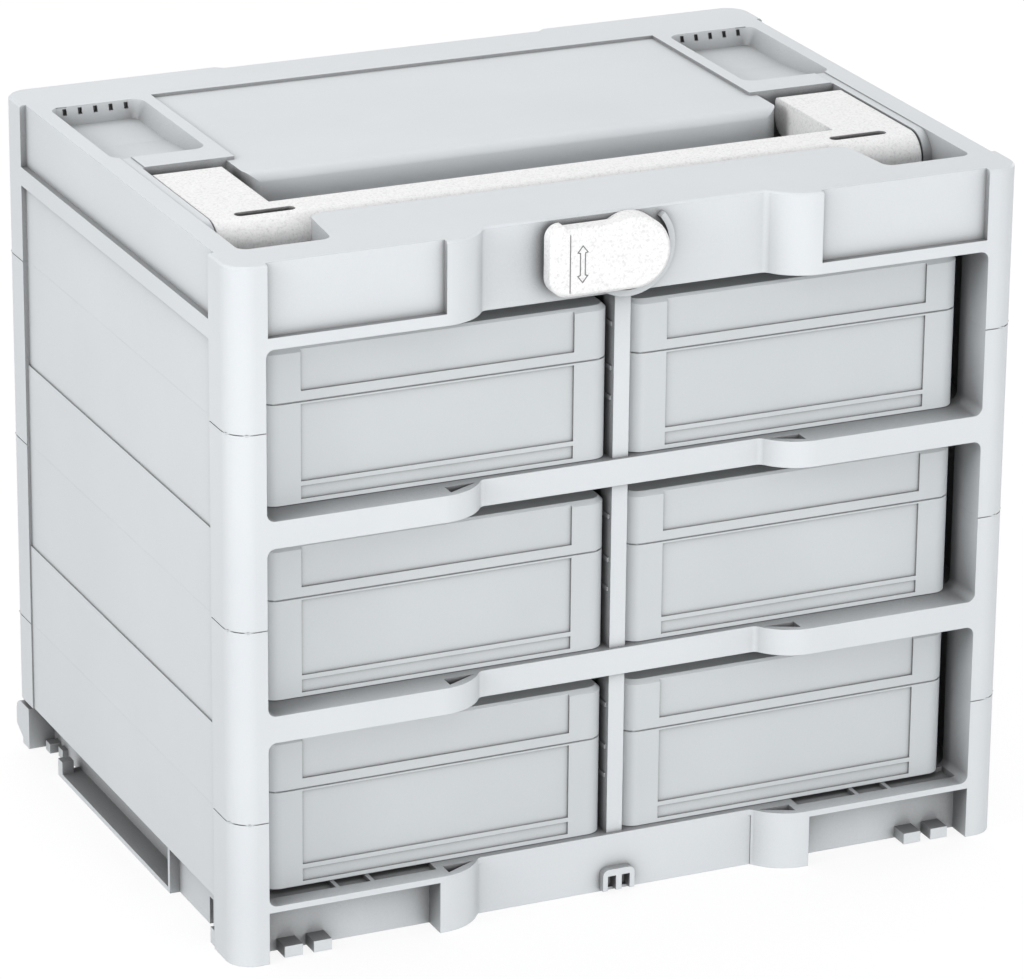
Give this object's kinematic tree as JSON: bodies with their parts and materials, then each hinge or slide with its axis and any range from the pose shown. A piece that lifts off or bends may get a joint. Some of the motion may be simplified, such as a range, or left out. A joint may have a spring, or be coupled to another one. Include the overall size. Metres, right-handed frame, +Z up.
{
  "type": "stackable tool case",
  "caption": "Stackable rack case with a fold-down carry handle, a front turn latch and small lidded boxes that slide out between dividers.",
  "frame": {"origin": "middle of the footprint, on the floor", "axes": "+Z up, the open front with the latch faces -Y, +X is the viewer's right"},
  "size_m": [0.396, 0.296, 0.337],
  "materials": {
    "housing_plastic": "fine grained light grey",
    "box_plastic": "fine grained light grey",
    "white_plastic": "fine grained near white",
    "steel": "plain pin stock"
  },
  "bodies": {
    "housing": {"top_frame": "housing_plastic", "middle_frame_upper": "housing_plastic", "middle_frame_lower": "housing_plastic", "bottom_frame": "housing_plastic", "divider_bottom": "housing_plastic", "divider_middle": "housing_plastic", "divider_top": "housing_plastic", "front_catch": "housing_plastic", "handle_pivot_pins": "steel"},
    "handle": {"carry_handle": "white_plastic"},
    "latch": {"turn_latch": "white_plastic", "latch_retainer": "white_plastic"},
    "box_1": {"box_1_base": "box_plastic", "box_1_lid": "box_plastic"},
    "box_1_catch": {"box_1_latch": "box_plastic"},
    "box_2": {"box_2_base": "box_plastic", "box_2_lid": "box_plastic"},
    "box_2_catch": {"box_2_latch": "box_plastic"},
    "box_3": {"box_3_base": "box_plastic", "box_3_lid": "box_plastic"},
    "box_3_catch": {"box_3_latch": "box_plastic"},
    "box_4": {"box_4_base": "box_plastic", "box_4_lid": "box_plastic"},
    "box_4_catch": {"box_4_latch": "box_plastic"},
    "box_5": {"box_5_base": "box_plastic", "box_5_lid": "box_plastic"},
    "box_5_catch": {"box_5_latch": "box_plastic"},
    "box_6": {"box_6_base": "box_plastic", "box_6_lid": "box_plastic"},
    "box_6_catch": {"box_6_latch": "box_plastic"}
  },
  "joints": [
    {"name": "handle_fold", "type": "hinge", "parent": "housing", "child": "handle", "pos_m": [0, -0.009, 0.327], "axis": [-1, 0, 0], "range_deg": [0, 100]},
    {"name": "latch_turn", "type": "hinge", "parent": "housing", "child": "latch", "pos_m": [0, -0.14, 0.3195], "axis": [0, 1, 0], "range_deg": [-90, 90]},
    {"name": "box_1_slide", "type": "slide", "parent": "housing", "child": "box_1", "axis": [0, -1, 0], "range_m": [0, 0.18]},
    {"name": "box_1_catch_turn", "type": "hinge", "parent": "box_1", "child": "box_1_catch", "pos_m": [-0.1731, 0.001, 0.25364], "axis": [1, 0, 0], "range_deg": [0, 90]},
    {"name": "box_2_slide", "type": "slide", "parent": "housing", "child": "box_2", "axis": [0, -1, 0], "range_m": [0, 0.18]},
    {"name": "box_2_catch_turn", "type": "hinge", "parent": "box_2", "child": "box_2_catch", "pos_m": [0.0081, 0.001, 0.25364], "axis": [1, 0, 0], "range_deg": [0, 90]},
    {"name": "box_3_slide", "type": "slide", "parent": "housing", "child": "box_3", "axis": [0, -1, 0], "range_m": [0, 0.18]},
    {"name": "box_3_catch_turn", "type": "hinge", "parent": "box_3", "child": "box_3_catch", "pos_m": [-0.1731, 0.001, 0.15964], "axis": [1, 0, 0], "range_deg": [0, 90]},
    {"name": "box_4_slide", "type": "slide", "parent": "housing", "child": "box_4", "axis": [0, -1, 0], "range_m": [0, 0.18]},
    {"name": "box_4_catch_turn", "type": "hinge", "parent": "box_4", "child": "box_4_catch", "pos_m": [0.0081, 0.001, 0.15964], "axis": [1, 0, 0], "range_deg": [0, 90]},
    {"name": "box_5_slide", "type": "slide", "parent": "housing", "child": "box_5", "axis": [0, -1, 0], "range_m": [0, 0.18]},
    {"name": "box_5_catch_turn", "type": "hinge", "parent": "box_5", "child": "box_5_catch", "pos_m": [-0.1731, 0.001, 0.06564], "axis": [1, 0, 0], "range_deg": [0, 90]},
    {"name": "box_6_slide", "type": "slide", "parent": "housing", "child": "box_6", "axis": [0, -1, 0], "range_m": [0, 0.18]},
    {"name": "box_6_catch_turn", "type": "hinge", "parent": "box_6", "child": "box_6_catch", "pos_m": [0.0081, 0.001, 0.06564], "axis": [1, 0, 0], "range_deg": [0, 90]}
  ]
}
